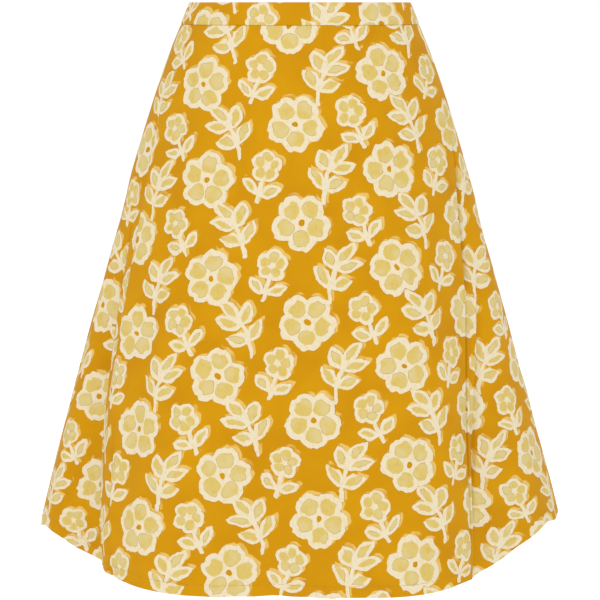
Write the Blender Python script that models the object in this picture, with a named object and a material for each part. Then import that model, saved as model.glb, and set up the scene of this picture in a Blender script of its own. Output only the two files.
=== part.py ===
"""A hollow A-line skirt, filled out as on its wearer, in metres with +Z up.

The origin is the middle of the waist, level with the waistband's top edge. -Y is the front and
+X the wearer's left. A place on the cloth is given by its turn, which is degrees round from the
centre front towards +X, and its drop, which is metres down from the waistband's top edge.
"""

import math
from collections import namedtuple

import bmesh
import bpy
from mathutils import Matrix, Vector

# Cloth and seams
CLOTH = 0.0015  # the wall of the panels
BAND_CLOTH = 0.0026  # the waistband, doubled and stiffened
BAND_PROUD = 0.0004  # how far the waistband stands out from the panels
SEAM_GAP = 0.0003
BAND_HEIGHT = 0.025

# The hem, level with the floor at the front and back and a little higher at the sides
HEM_DROP = 0.645
Hem = namedtuple("Hem", "turn drop")
HEM = (
    Hem(-180.0, 0.6450),
    Hem(-165.0, 0.6430),
    Hem(-153.0, 0.6385),
    Hem(-121.0, 0.6410),
    Hem(-96.0, 0.6330),
    Hem(-82.0, 0.6250),
    Hem(-76.0, 0.6185),
    Hem(-70.0, 0.6110),
    Hem(-64.0, 0.6165),
    Hem(-58.0, 0.6300),
    Hem(-52.0, 0.6400),
    Hem(-46.0, 0.6400),
    Hem(-42.0, 0.6390),
    Hem(-25.0, 0.6420),
    Hem(0.0, 0.6440),
    Hem(30.0, 0.6430),
    Hem(36.0, 0.6420),
    Hem(40.0, 0.6460),
    Hem(43.0, 0.6430),
    Hem(49.0, 0.6330),
    Hem(58.0, 0.6150),
    Hem(66.0, 0.6035),
    Hem(73.0, 0.6080),
    Hem(82.0, 0.6120),
    Hem(94.0, 0.6220),
    Hem(121.0, 0.6400),
    Hem(149.0, 0.6380),
    Hem(165.0, 0.6430),
    Hem(180.0, 0.6450),
)
HEM_TURN_UP = 0.014  # how much of the hem is doubled
HEM_EXTRA = 0.0009  # how much thicker it is there
HEM_STEP = 0.001

# Half the skirt's width, and how far it reaches to the front and back, down the skirt
Section = namedtuple("Section", "drop half_width front back")
SECTIONS = (
    Section(0.000, 0.1275, 0.0950, 0.0950),
    Section(0.026, 0.1385, 0.0995, 0.1000),
    Section(0.055, 0.1510, 0.1055, 0.1075),
    Section(0.113, 0.1720, 0.1190, 0.1235),
    Section(0.231, 0.2090, 0.1425, 0.1490),
    Section(0.352, 0.2445, 0.1640, 0.1690),
    Section(0.477, 0.2790, 0.1855, 0.1880),
    Section(0.604, 0.3146, 0.2075, 0.2080),
    Section(0.650, 0.3230, 0.2155, 0.2150),
)

# Flutes that run down to the hem. Each follows a line through three turns, at the hip, half way
# and at the hem, and stands out by its height at the hem, or goes in where that is below 0. It
# fades out over so many degrees before and after its line, and grows from the drop at which it
# starts.
Flute = namedtuple("Flute", "hip middle hem height before after starts")
FLUTES = (
    Flute(-34.0, -31.0, -28.0, 0.0185, 23.0, 28.0, 0.12),
    Flute(-72.0, -65.0, -52.0, -0.0240, 13.0, 12.0, 0.10),
    Flute(-83.0, -77.0, -70.0, 0.0060, 15.0, 13.0, 0.19),
    Flute(36.0, 30.0, 24.0, 0.0150, 26.0, 19.0, 0.12),
    Flute(67.0, 51.0, 44.0, -0.0180, 11.0, 20.0, 0.12),
    Flute(82.0, 76.0, 69.0, 0.0050, 20.0, 17.0, 0.19),
    Flute(118.0, 120.0, 122.0, -0.0210, 26.0, 20.0, 0.12),
    Flute(146.0, 149.0, 151.0, 0.0150, 22.0, 24.0, 0.14),
    Flute(-116.0, -121.0, -126.0, -0.0190, 18.0, 30.0, 0.12),
    Flute(-150.0, -153.0, -154.0, 0.0130, 20.0, 22.0, 0.14),
)

FLUTE_ONSET = 0.25  # the share of a flute's length over which it comes in softly

# Cells round and down each piece
FRONT_COLUMNS = 60
BACK_COLUMNS = 28
PANEL_ROWS = 14
BAND_FRONT_COLUMNS = 30
BAND_BACK_COLUMNS = 15
BACK_BAND_DROPS = (0.0, 0.003, 0.0055, 0.0085, 0.0115, 0.014, 0.017, BAND_HEIGHT)

# A concealed zip behind the centre-back seam, closed
BACK_SEAM = 180.0
TAPE_WIDTH = 0.011
TAPE_CLOTH = 0.0008
TAPE_TOP = 0.001
TAPE_END = 0.205
TAPE_ROWS = 14
TAPE_EASE = 0.008  # the drop over which the tapes step from the waistband to the panels
SLIDER_DROP = 0.0085
SLIDER_BODY = (0.0076, 0.0030, 0.0088)  # across, through and along the seam
SLIDER_ROUNDING = 0.0007
BRIDGE_WIDTH = 0.0012
BRIDGE_HEIGHT = 0.0046
BRIDGE_WALL = 0.0010
BRIDGE_HOLE = 0.0022
PARTING = 0.00115  # how far each edge of the seam is held aside round the slider's bridge
PARTING_REACH = 0.0085
PULL_LIFT = 0.0017  # the pull tab's hinge, out from the waistband's face
PULL_TIP_LIFT = 0.0013
PULL_LENGTH = 0.024
PULL_THICKNESS = 0.0012
PULL_BAR = 0.0012
PULL_HOLE = (0.0024, 0.0034)
PULL_TOP_WIDTH = 0.0046
PULL_END_WIDTH = 0.0066
PULL_NECK_AT = 0.30  # the slimmest place, as a share of the length
PULL_NECK_WIDTH = 0.0036
ROUND_STEPS = 8

COTTON = ("printed_cotton", (0.69, 0.33, 0.005, 1.0), 0.85, 0.0)
TAPE = ("zip_tape", (0.55, 0.27, 0.02, 1.0), 0.9, 0.0)
METAL = ("zip_metal", (0.62, 0.33, 0.04, 1.0), 0.35, 0.0)


def clear_scene():
    for old in list(bpy.data.objects):
        bpy.data.objects.remove(old, do_unlink=True)


def material(named):
    """The Principled material of a name, colour, roughness and metallic value."""
    name, colour, roughness, metallic = named
    made = bpy.data.materials.get(name) or bpy.data.materials.new(name)
    made.use_nodes = True
    shader = made.node_tree.nodes["Principled BSDF"]
    shader.inputs["Base Color"].default_value = colour
    shader.inputs["Roughness"].default_value = roughness
    shader.inputs["Metallic"].default_value = metallic
    return made


def smooth_step(share):
    share = min(max(share, 0.0), 1.0)
    return share * share * (3.0 - 2.0 * share)


def along(rows, key, field):
    """A smooth curve through one column of a table, at a value of its first column."""
    xs = [row[0] for row in rows]
    ys = [getattr(row, field) for row in rows]
    i = 0
    while i < len(xs) - 2 and key > xs[i + 1]:
        i += 1
    slopes = [
        (ys[min(k + 1, len(ys) - 1)] - ys[max(k - 1, 0)])
        / (xs[min(k + 1, len(xs) - 1)] - xs[max(k - 1, 0)])
        for k in (i, i + 1)
    ]
    span = xs[i + 1] - xs[i]
    s = (key - xs[i]) / span
    return (
        (1 + 2 * s) * (1 - s) ** 2 * ys[i]
        + s * (1 - s) ** 2 * span * slopes[0]
        + s * s * (3 - 2 * s) * ys[i + 1]
        + s * s * (s - 1) * span * slopes[1]
    )


def hem_drop(turn):
    """How low the hem hangs at this turn."""
    return along(HEM, turn, "drop")


def flute_turn(flute, share):
    """Where a flute's line is, a share of the way from the hip to the hem."""
    early, late = flute.middle - flute.hip, flute.hem - flute.middle
    return flute.hip + (3.0 * early - late) * share + 2.0 * (late - early) * share**2


def flute_height(turn, drop):
    """How far the flutes move the cloth out from its plain section."""
    total = 0.0
    for flute in FLUTES:
        share = (drop - flute.starts) / (HEM_DROP - flute.starts)
        if share <= 0.0:
            continue
        offset = (turn - flute_turn(flute, share) + 180.0) % 360.0 - 180.0
        reach = flute.after if offset > 0.0 else flute.before
        if abs(offset) < reach:
            wave = math.cos(math.pi / 2 * offset / reach) ** 2
            total += flute.height * share * smooth_step(share / FLUTE_ONSET) * wave
    return total


def surface(turn, drop):
    """The point of the panels' outer face at this turn and drop."""
    sine, cosine = math.sin(math.radians(turn)), math.cos(math.radians(turn))
    width = along(SECTIONS, drop, "half_width")
    depth = along(SECTIONS, drop, "front" if cosine > 0.0 else "back")
    outward = Vector((sine / width, -cosine / depth)).normalized()
    place = Vector((width * sine, -depth * cosine)) + outward * flute_height(turn, drop)
    return Vector((place.x, place.y, -drop))


def cloth_point(turn, drop, out=0.0):
    """The point that lies out from the panels' outer face, square to it."""
    round_it = surface(turn + 0.25, drop) - surface(turn - 0.25, drop)
    down_it = surface(turn, drop + 0.0005) - surface(turn, drop - 0.0005)
    return surface(turn, drop) + down_it.cross(round_it).normalized() * out


def degrees_for(distance, turn, drop):
    """The turn that a distance round the cloth takes."""
    one_degree = (surface(turn + 0.5, drop) - surface(turn - 0.5, drop)).length
    return distance / one_degree


def plain_gap(drop):
    return SEAM_GAP / 2


def back_seam_gap(drop):
    """Half the gap of the centre-back seam, which parts round the slider's bridge."""
    offset = abs(drop - SLIDER_DROP) / PARTING_REACH
    return SEAM_GAP / 2 + (PARTING * math.cos(math.pi / 2 * offset) ** 2 if offset < 1.0 else 0.0)


def finish_object(name, mesh_maker, look, smooth_angle=40.0):
    """Makes the named object of a bmesh, with its faces pointing out, its look and its shading."""
    bmesh.ops.recalc_face_normals(mesh_maker, faces=mesh_maker.faces)
    mesh = bpy.data.meshes.new(name)
    mesh_maker.to_mesh(mesh)
    mesh_maker.free()
    mesh.materials.append(material(look))
    mesh.shade_smooth()
    mesh.set_sharp_from_angle(angle=math.radians(smooth_angle))
    made = bpy.data.objects.new(name, mesh)
    bpy.context.scene.collection.objects.link(made)
    return made


def closed_wall(name, look, outer, inner):
    """A closed wall between two grids of points of the same size, each a list of rows."""
    maker = bmesh.new()
    faces = [[[maker.verts.new(p) for p in row] for row in grid] for grid in (outer, inner)]
    rows, columns = len(outer), len(outer[0])
    for grid in faces:
        for r in range(rows - 1):
            for c in range(columns - 1):
                maker.faces.new((grid[r][c], grid[r][c + 1], grid[r + 1][c + 1], grid[r + 1][c]))
    rim = [(0, c) for c in range(columns)]
    rim += [(r, columns - 1) for r in range(1, rows)]
    rim += [(rows - 1, c) for c in range(columns - 2, -1, -1)]
    rim += [(r, 0) for r in range(rows - 2, 0, -1)]
    for (r1, c1), (r2, c2) in zip(rim, rim[1:] + rim[:1]):
        maker.faces.new((faces[0][r1][c1], faces[0][r2][c2], faces[1][r2][c2], faces[1][r1][c1]))
    return finish_object(name, maker, look)


def cloth_wall(name, look, turns, gaps, columns, drops_at, outer_at, inner_at):
    """A piece of cloth between two turns. gaps gives the half gap left at each of its edges, and
    drops_at the drops of its rows at a turn. outer_at and inner_at say how far its faces lie out
    from the panels' outer face, by how far above the piece's foot they are."""
    first, last = turns
    outer, inner = [], []
    for r in range(len(drops_at(first))):
        outer.append([])
        inner.append([])
        for c in range(columns + 1):
            share = c / columns
            drops = drops_at(first + (last - first) * share)
            drop, above = drops[r], drops[-1] - drops[r]
            start = first + degrees_for(gaps[0](drop), first, drop)
            end = last - degrees_for(gaps[1](drop), last, drop)
            turn = start + (end - start) * share
            outer[r].append(cloth_point(turn, drop, outer_at(above)))
            inner[r].append(cloth_point(turn, drop, inner_at(above)))
    return closed_wall(name, look, outer, inner)


def panel_drops(turn):
    """The drops of a panel's rows: even ones down to the hem's turn-up, a step and the hem."""
    top, foot = BAND_HEIGHT + SEAM_GAP, hem_drop(turn)
    hem_top = foot - HEM_TURN_UP
    body = [top + (hem_top - HEM_STEP - top) * r / PANEL_ROWS for r in range(PANEL_ROWS + 1)]
    return body + [hem_top, foot]


def panel_outside(above):
    return 0.0


def panel_inside(above):
    """The panels' inner face, with the hem's turn-up on it."""
    return -CLOTH - (HEM_EXTRA if above < HEM_TURN_UP + HEM_STEP / 2 else 0.0)


def make_panels():
    pieces = (
        ("front_panel", (-90.0, 90.0), FRONT_COLUMNS),
        ("back_left_panel", (90.0, BACK_SEAM), BACK_COLUMNS),
        ("back_right_panel", (-BACK_SEAM, -90.0), BACK_COLUMNS),
    )
    gaps = (plain_gap, plain_gap)
    for name, turns, columns in pieces:
        cloth_wall(name, COTTON, turns, gaps, columns, panel_drops, panel_outside, panel_inside)


def band_outside(above):
    return BAND_PROUD


def band_inside(above):
    return BAND_PROUD - BAND_CLOTH


def front_band_drops(turn):
    return (0.0, BAND_HEIGHT / 2, BAND_HEIGHT)


def back_band_drops(turn):
    return BACK_BAND_DROPS


def make_waistband():
    pieces = (
        ("waistband_front", (-90.0, 90.0), plain_gap, plain_gap, BAND_FRONT_COLUMNS),
        ("waistband_back_left", (90.0, BACK_SEAM), plain_gap, back_seam_gap, BAND_BACK_COLUMNS),
        ("waistband_back_right", (-BACK_SEAM, -90.0), back_seam_gap, plain_gap, BAND_BACK_COLUMNS),
    )
    for name, turns, first_gap, last_gap, columns in pieces:
        drops = front_band_drops if name == "waistband_front" else back_band_drops
        gaps = (first_gap, last_gap)
        cloth_wall(name, COTTON, turns, gaps, columns, drops, band_outside, band_inside)


def tape_outside(drop):
    """The outer face of the zip's tapes, just inside the waistband and then the panels."""
    band, panel = BAND_PROUD - BAND_CLOTH - SEAM_GAP, -CLOTH - SEAM_GAP
    return band + (panel - band) * smooth_step((drop - BAND_HEIGHT - SEAM_GAP) / TAPE_EASE)


def make_tapes():
    """The two tapes of the zip, one on each side of the centre-back seam."""
    rows = [d for d in BACK_BAND_DROPS if TAPE_TOP < d < BAND_HEIGHT] + [BAND_HEIGHT + SEAM_GAP]
    rows += [rows[-1] + (TAPE_END - rows[-1]) * r / TAPE_ROWS for r in range(1, TAPE_ROWS + 1)]
    rows = [TAPE_TOP] + rows
    for name, side in (("zip_tape_left", 1.0), ("zip_tape_right", -1.0)):
        outer, inner = [], []
        for drop in rows:
            gap = degrees_for(back_seam_gap(drop), BACK_SEAM, drop)
            width = degrees_for(TAPE_WIDTH, BACK_SEAM, drop)
            turns = [BACK_SEAM - side * (gap + (width - gap) * c / 2) for c in range(3)]
            out = tape_outside(drop)
            outer.append([cloth_point(turn, drop, out) for turn in turns])
            inner.append([cloth_point(turn, drop, out - TAPE_CLOTH) for turn in turns])
        closed_wall(name, TAPE, outer, inner)


def back_frame(drop, out):
    """A frame on the centre-back seam: x across it, y out from the cloth and z up along it."""
    y = (cloth_point(BACK_SEAM, drop, 0.001) - cloth_point(BACK_SEAM, drop)).normalized()
    x = Vector((1.0, 0.0, 0.0))
    turned = Matrix((x, y, x.cross(y))).transposed().to_4x4()
    return Matrix.Translation(cloth_point(BACK_SEAM, drop, out)) @ turned


def block(name, look, size, place, hidden=False):
    """A box of a size at a place. A hidden one is only an operand of a Boolean."""
    maker = bmesh.new()
    bmesh.ops.create_cube(maker, size=1.0, matrix=Matrix.Diagonal((*size, 1.0)))
    made = finish_object(name, maker, look)
    made.matrix_world = place
    if hidden:
        made.hide_render = True
        made.display_type = "WIRE"
    return made


def boolean(target, operand, operation):
    modifier = target.modifiers.new(operand.name, "BOOLEAN")
    modifier.operation = operation
    modifier.solver = "EXACT"
    modifier.object = operand


def make_slider():
    """The slider: its body inside the tapes, and a bridge that comes out through the seam and
    holds the pull tab's bar in its hole."""
    inside = BAND_PROUD - BAND_CLOTH - SEAM_GAP - TAPE_CLOTH - SEAM_GAP
    hinge_out = BAND_PROUD + PULL_LIFT
    bridge_end = hinge_out + BRIDGE_HOLE / 2 + BRIDGE_WALL
    body_middle = inside - SLIDER_BODY[1] / 2
    body = block("zip_slider", METAL, SLIDER_BODY, back_frame(SLIDER_DROP, body_middle))
    bevel = body.modifiers.new("rounded", "BEVEL")
    bevel.width = SLIDER_ROUNDING
    bevel.segments = 2
    bridge_length = bridge_end - body_middle
    middle = body_middle + bridge_length / 2
    size = (BRIDGE_WIDTH, bridge_length, BRIDGE_HEIGHT)
    bridge = block("bridge_shape", METAL, size, back_frame(SLIDER_DROP, middle), hidden=True)
    hole_size = (BRIDGE_WIDTH * 2, BRIDGE_HOLE, BRIDGE_HOLE)
    hole = block("hole_shape", METAL, hole_size, back_frame(SLIDER_DROP, hinge_out), hidden=True)
    boolean(body, bridge, "UNION")
    boolean(body, hole, "DIFFERENCE")


def pull_outline():
    """The pull tab's edge, from its hinge down: a slim drop with a round end."""
    top, neck, end = PULL_TOP_WIDTH / 2, PULL_NECK_WIDTH / 2, PULL_END_WIDTH / 2
    neck_z = -PULL_LENGTH * PULL_NECK_AT
    points = [(-top, PULL_BAR / 2), (top, PULL_BAR / 2), (neck, neck_z)]
    for step in range(ROUND_STEPS + 1):
        angle = math.pi * step / ROUND_STEPS
        points.append((end * math.cos(angle), -PULL_LENGTH + end - end * math.sin(angle)))
    return points + [(-neck, neck_z)]


def make_pull():
    """The pull tab, which hangs on the slider's bridge from an empty on its hinge."""
    hinge = back_frame(SLIDER_DROP, BAND_PROUD + PULL_LIFT).translation
    tip = cloth_point(BACK_SEAM, SLIDER_DROP + PULL_LENGTH, PULL_TIP_LIFT)
    up = (hinge - tip).normalized()
    x = Vector((1.0, 0.0, 0.0))
    turned = Matrix((x, up.cross(x), up)).transposed().to_4x4()
    pivot = bpy.data.objects.new("pull_hinge", None)
    pivot.matrix_world = Matrix.Translation(hinge) @ turned
    bpy.context.scene.collection.objects.link(pivot)

    maker = bmesh.new()
    half = PULL_THICKNESS / 2
    loop = [maker.verts.new((px, -half, pz)) for px, pz in pull_outline()]
    flat = maker.faces.new(loop)
    thick = bmesh.ops.extrude_face_region(maker, geom=[flat])["geom"]
    moved = [v for v in thick if isinstance(v, bmesh.types.BMVert)]
    bmesh.ops.translate(maker, verts=moved, vec=(0.0, PULL_THICKNESS, 0.0))
    pull = finish_object("zip_pull", maker, METAL, 30.0)
    pull.parent = pivot
    hole_size = (PULL_HOLE[0], PULL_THICKNESS * 2, PULL_HOLE[1])
    hole_middle = Matrix.Translation((0.0, 0.0, -(PULL_BAR + PULL_HOLE[1]) / 2))
    hole = block("pull_hole_shape", METAL, hole_size, pivot.matrix_world @ hole_middle, hidden=True)
    boolean(pull, hole, "DIFFERENCE")


def main():
    clear_scene()
    make_panels()
    make_waistband()
    make_tapes()
    make_slider()
    make_pull()
    bpy.context.view_layer.update()


main()
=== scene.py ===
"""The looks of a printed cotton A-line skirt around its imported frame, in metres with +Z up.

A place on the cloth is given by its turn, which is degrees round from the centre front towards
+X, and its drop, which is metres down from the waistband's top edge. The print is drawn in
millimetres on each piece as it was cut, lying flat.
"""

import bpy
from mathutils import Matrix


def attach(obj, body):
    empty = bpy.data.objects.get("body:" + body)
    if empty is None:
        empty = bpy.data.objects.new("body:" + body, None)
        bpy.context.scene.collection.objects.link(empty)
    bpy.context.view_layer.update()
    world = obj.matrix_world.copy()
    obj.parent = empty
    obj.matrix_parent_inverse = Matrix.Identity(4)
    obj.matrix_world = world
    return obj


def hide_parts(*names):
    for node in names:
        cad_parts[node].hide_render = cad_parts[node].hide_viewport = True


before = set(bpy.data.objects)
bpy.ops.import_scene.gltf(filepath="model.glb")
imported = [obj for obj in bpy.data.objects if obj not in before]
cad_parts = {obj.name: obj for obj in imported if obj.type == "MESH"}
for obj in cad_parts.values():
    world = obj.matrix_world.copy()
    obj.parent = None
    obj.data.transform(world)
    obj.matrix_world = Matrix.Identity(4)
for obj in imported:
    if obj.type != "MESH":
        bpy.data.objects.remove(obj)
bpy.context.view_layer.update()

import math
from collections import namedtuple

import bmesh
import bpy
import numpy as np
from mathutils import Matrix, Vector


def table(columns, *rows):
    """Rows with named columns."""
    kind = namedtuple("Row", columns)
    return tuple(kind(*row) for row in rows)


# -------- sizes, as in the frame

BAND_HEIGHT = 0.025
BAND_PROUD = 0.0004  # how far the waistband stands out from the panels
BAND_CLOTH = 0.0026  # the waistband, doubled and stiffened
HEM_DROP = 0.645
HEM_TURN_UP = 0.014
BACK_SEAM = 180.0
SEAM_GAP = 0.0003  # between the solids, at a seam
SOLID_CLOTH = 0.0015  # the panels' wall in the solids, which the zip lies inside
SLIDER_DROP = 0.0085
PARTING = 0.00115  # how far each edge of the back seam is held aside round the slider's bridge
PARTING_REACH = 0.0085

HEM = table(
    "turn drop",
    (-180.0, 0.6450), (-165.0, 0.6430), (-153.0, 0.6385), (-121.0, 0.6410), (-96.0, 0.6330),
    (-82.0, 0.6250), (-76.0, 0.6185), (-70.0, 0.6110), (-64.0, 0.6165), (-58.0, 0.6300),
    (-52.0, 0.6400), (-46.0, 0.6400), (-42.0, 0.6390), (-25.0, 0.6420), (0.0, 0.6440),
    (30.0, 0.6430), (36.0, 0.6420), (40.0, 0.6460), (43.0, 0.6430), (49.0, 0.6330),
    (58.0, 0.6150), (66.0, 0.6035), (73.0, 0.6080), (82.0, 0.6120), (94.0, 0.6220),
    (121.0, 0.6400), (149.0, 0.6380), (165.0, 0.6430), (180.0, 0.6450),
)

SECTIONS = table(
    "drop half_width front back",
    (0.000, 0.1275, 0.0950, 0.0950),
    (0.026, 0.1385, 0.0995, 0.1000),
    (0.055, 0.1510, 0.1055, 0.1075),
    (0.113, 0.1720, 0.1190, 0.1235),
    (0.231, 0.2090, 0.1425, 0.1490),
    (0.352, 0.2445, 0.1640, 0.1690),
    (0.477, 0.2790, 0.1855, 0.1880),
    (0.604, 0.3146, 0.2075, 0.2080),
    (0.650, 0.3230, 0.2155, 0.2150),
)

FLUTES = table(
    "top middle foot height before after starts",
    (-34.0, -31.0, -28.0, 0.0185, 23.0, 28.0, 0.12),
    (-72.0, -65.0, -52.0, -0.0240, 13.0, 12.0, 0.10),
    (-83.0, -77.0, -70.0, 0.0060, 15.0, 13.0, 0.19),
    (36.0, 30.0, 24.0, 0.0150, 26.0, 19.0, 0.12),
    (67.0, 51.0, 44.0, -0.0180, 11.0, 20.0, 0.12),
    (82.0, 76.0, 69.0, 0.0050, 20.0, 17.0, 0.19),
    (118.0, 120.0, 122.0, -0.0210, 26.0, 20.0, 0.12),
    (146.0, 149.0, 151.0, 0.0150, 22.0, 24.0, 0.14),
    (-116.0, -121.0, -126.0, -0.0190, 18.0, 30.0, 0.12),
    (-150.0, -153.0, -154.0, 0.0130, 20.0, 22.0, 0.14),
)
FLUTE_ONSET = 0.25

# -------- creases

# Each runs from one drop to another along a line through three turns. It goes in where its
# height is below 0, and reaches so many metres to each side of its line. A keen one has a sharp
# bottom, and a soft one is a round trough or ridge. Lines that end past the hem run off it.
CREASE = "top middle foot starts ends height before after keen"
OFF_HEM = 0.74
MAIN_FOLDS = table(
    CREASE,
    (72.5, 50.2, 37.3, 0.15, OFF_HEM, -0.0070, 0.015, 0.036, 1.0),
    (-71.0, -62.0, -58.0, 0.13, 0.44, -0.0050, 0.022, 0.014, 1.0),
    (-72.5, -61.3, -42.5, 0.24, OFF_HEM, -0.0055, 0.034, 0.015, 1.0),
    (116.0, 127.0, 137.0, 0.16, OFF_HEM, -0.0070, 0.032, 0.015, 1.0),
    (-118.0, -126.0, -140.0, 0.17, OFF_HEM, -0.0075, 0.015, 0.034, 1.0),
)
CREASES = MAIN_FOLDS + table(
    CREASE,
    # the sharp edges of the large folds
    (-72.0, -61.0, -42.3, 0.20, OFF_HEM, -0.0078, 0.0048, 0.0046, 1.0),
    (-69.6, -58.0, -37.0, 0.28, OFF_HEM, -0.0056, 0.0044, 0.0046, 1.0),
    (-70.4, -61.4, -57.4, 0.09, 0.46, -0.0080, 0.0060, 0.0056, 1.0),
    (77.2, 66.4, 57.1, 0.09, 0.34, -0.0074, 0.0056, 0.0060, 1.0),
    (-50.0, -44.0, -33.0, 0.46, OFF_HEM, -0.0040, 0.0044, 0.0044, 1.0),
    (72.5, 50.2, 37.3, 0.15, 0.66, -0.0076, 0.0048, 0.0046, 1.0),
    (70.6, 48.6, 36.0, 0.26, 0.72, -0.0044, 0.0048, 0.0044, 1.0),
    (116.4, 127.2, 137.3, 0.19, 0.66, -0.0060, 0.0046, 0.0048, 1.0),
    (-118.4, -126.4, -140.3, 0.22, 0.70, -0.0056, 0.0048, 0.0044, 1.0),
    # the front
    (-12.0, -7.0, -4.0, 0.27, OFF_HEM, -0.0042, 0.030, 0.024, 0.15),
    (9.0, 6.0, 5.0, 0.34, OFF_HEM, 0.0030, 0.022, 0.026, 0.00),
    (48.0, 38.0, 31.0, 0.20, OFF_HEM, -0.0024, 0.016, 0.020, 0.35),
    (-43.0, -42.0, -41.0, 0.18, OFF_HEM, -0.0028, 0.015, 0.021, 0.35),
    (-20.0, -17.0, -16.0, 0.40, OFF_HEM, 0.0022, 0.012, 0.016, 0.10),
    (22.0, 16.0, 14.0, 0.12, 0.40, -0.0014, 0.016, 0.014, 0.30),
    (-26.0, -20.0, -12.0, 0.05, 0.30, -0.0013, 0.013, 0.018, 0.30),
    (40.0, 46.0, 52.0, 0.04, 0.20, -0.0012, 0.010, 0.014, 0.40),
    (-52.0, -47.0, -45.0, 0.04, 0.22, -0.0014, 0.012, 0.010, 0.40),
    (55.0, 50.0, 44.0, 0.42, 0.66, 0.0016, 0.010, 0.012, 0.20),
    # the sides
    (-84.0, -83.0, -82.0, 0.19, 0.47, -0.0036, 0.045, 0.045, 0.00),
    (85.0, 84.0, 84.0, 0.22, 0.46, -0.0030, 0.040, 0.042, 0.00),
    (98.0, 96.0, 95.0, 0.30, OFF_HEM, 0.0028, 0.020, 0.016, 0.20),
    (-99.0, -97.0, -98.0, 0.28, OFF_HEM, 0.0032, 0.018, 0.020, 0.20),
    # the back
    (164.0, 165.0, 168.0, 0.30, OFF_HEM, -0.0036, 0.026, 0.022, 0.20),
    (-172.0, -170.0, -166.0, 0.36, OFF_HEM, -0.0040, 0.022, 0.028, 0.20),
    (108.0, 110.0, 111.0, 0.22, OFF_HEM, -0.0024, 0.018, 0.014, 0.35),
    (-104.0, -108.0, -112.0, 0.20, 0.60, -0.0026, 0.014, 0.018, 0.35),
    (150.0, 143.0, 140.0, 0.05, 0.30, -0.0014, 0.014, 0.012, 0.35),
    (-158.0, -148.0, -141.0, 0.04, 0.26, -0.0013, 0.012, 0.016, 0.35),
)
CREASE_ENDS = 0.22  # the share of a crease over which each end of it fades

# Faint waves in the cloth: how many go round, and how far each leans in degrees a metre of drop
RIPPLES = table(
    "round_count lean lag height",
    (9, 55.0, 20.0, 0.00075),
    (16, -38.0, 140.0, 0.00055),
    (27, 21.0, 250.0, 0.00035),
    (43, -12.0, 70.0, 0.00018),
)
RIPPLE_STARTS = 0.030
RIPPLE_ONSET = 0.30
SEAM_PUCKERS = 150  # round the hem and under the waistband
PUCKER_HEIGHT = 0.00022
PUCKER_REACH = 0.011
PUCKER_ONSET = 0.001
PUCKER_WANDER = (13.0, 2.0)  # how often its rhythm changes round the hem, and how far
CALM_REACH = 9.0  # degrees to each side of the zip where the cloth lies still
CALM_FADE = 0.05  # below the zip

# -------- the shells

CLOTH = 0.0009
HEM_LAYER = 0.0008
PANEL_TOP = BAND_HEIGHT + 0.0001
SEAM_ROLL = 0.0008  # how deep the cloth's edges roll in at a seam
SEAM_ROLL_REACH = 0.0026
HEM_ROUNDING = 0.92  # the share of its half thickness that is rounded off
BAND_ROUNDING = 0.9
STITCH_ABOVE = 0.0122  # the hem's sewing, above its edge
STITCH_DENT = 0.00028
STITCH_DENT_REACH = 0.0016
EDGE_STEPS = (0.0, 0.0003, 0.0009, 0.0018, 0.0032)
HEM_STEPS = (
    0.0, 0.0002, 0.0005, 0.0009, 0.0018, 0.0034, 0.0058, 0.0085, 0.0106,
    0.0115, 0.0122, 0.0129, 0.0138, 0.0141, 0.0150, 0.0175,
)
PANEL_ROWS = 125
FRONT_COLUMNS = 300
BACK_COLUMNS = 125
BAND_ROWS = 8
FRONT_BAND_COLUMNS = 120
BACK_BAND_COLUMNS = 70
CROWDING = 4.5  # how much closer the columns are along a keen fold
CROWD_REACH = 4.5
FINE_TURNS = 1201  # places that the columns are worked out at
FINE_GRAIN = 500  # places along the straight grain
FINE_HEM = 3000  # places along the hem's sewing
PAST_HEM = 0.01
SHARP_EDGE = 50.0  # degrees
TURN_STEP = 0.1  # the steps to each side that show which way the cloth faces
DROP_STEP = 0.0003
UNTANGLING_ROUNDS = 16
UNTANGLED_SHARE = 0.08  # the least share of the outer face's step that the inner face keeps
BAND_PUFF = 0.00035

# -------- sewing and the zip

THREAD = 0.00017  # half its thickness
THREAD_SIDES = 5
STITCH_PITCH = 0.0030
STITCH_LENGTH = 0.0024
STITCH_RISE = 0.00014
STITCH_PLACES = 5
STITCH_INSET = 0.3  # degrees that a row stops short of the seams

TURNING = 0.011  # a seam allowance, pressed open
TURNING_CLOTH = 0.0005
TURNING_GAP = 0.0001
TURNING_EASE = 0.0006  # how far below the waistband or the zip it starts
TURNING_STEPS = (0.0, 0.0008, 0.0018, 0.0030, 0.0050, 0.0072, 0.0090, TURNING)
OVERLOCK = 0.0039  # how much of its edge is overlocked

TAPE_CLOTH = 0.0008
TAPE_END = 0.205
TAPE_EASE = 0.008
COIL_TOP = 0.0136
COIL_END = 0.196
COIL_PITCH = 0.0015
TOOTH = 0.00035
TOOTH_TAPER = 0.25
TOOTH_HEAD = -0.0006
TOOTH_ROOT = 0.0023
TOOTH_BOW = 0.0003
TOOTH_PLACES = 6
TOOTH_SIDES = 6
SLIDER_HEIGHT = 0.0088
SLIDER_DEPTH = 0.0030
SLIDER_ROUNDING = 0.0007
SLIDER_OUTLINE = (  # how far down from its top, and its width there
    (0.0000, 0.0046), (0.0004, 0.0062), (0.0012, 0.0073), (0.0022, 0.0076), (0.0040, 0.0074),
    (0.0060, 0.0068), (0.0080, 0.0064), (0.0086, 0.0060), (0.0088, 0.0052),
)
BRIDGE_WIRE = 0.0006
BRIDGE_SIDES = 14
BRIDGE_REACH = 0.0017
BRIDGE_RISE = 0.0016
BRIDGE_SQUARE = 0.6
BRIDGE_LEG_PLACES = 4
BRIDGE_ARC_PLACES = 17
PULL_LIFT = 0.0017
PULL_TIP_LIFT = 0.0013
PULL_LENGTH = 0.024
PULL_THICKNESS = 0.0012
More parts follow.
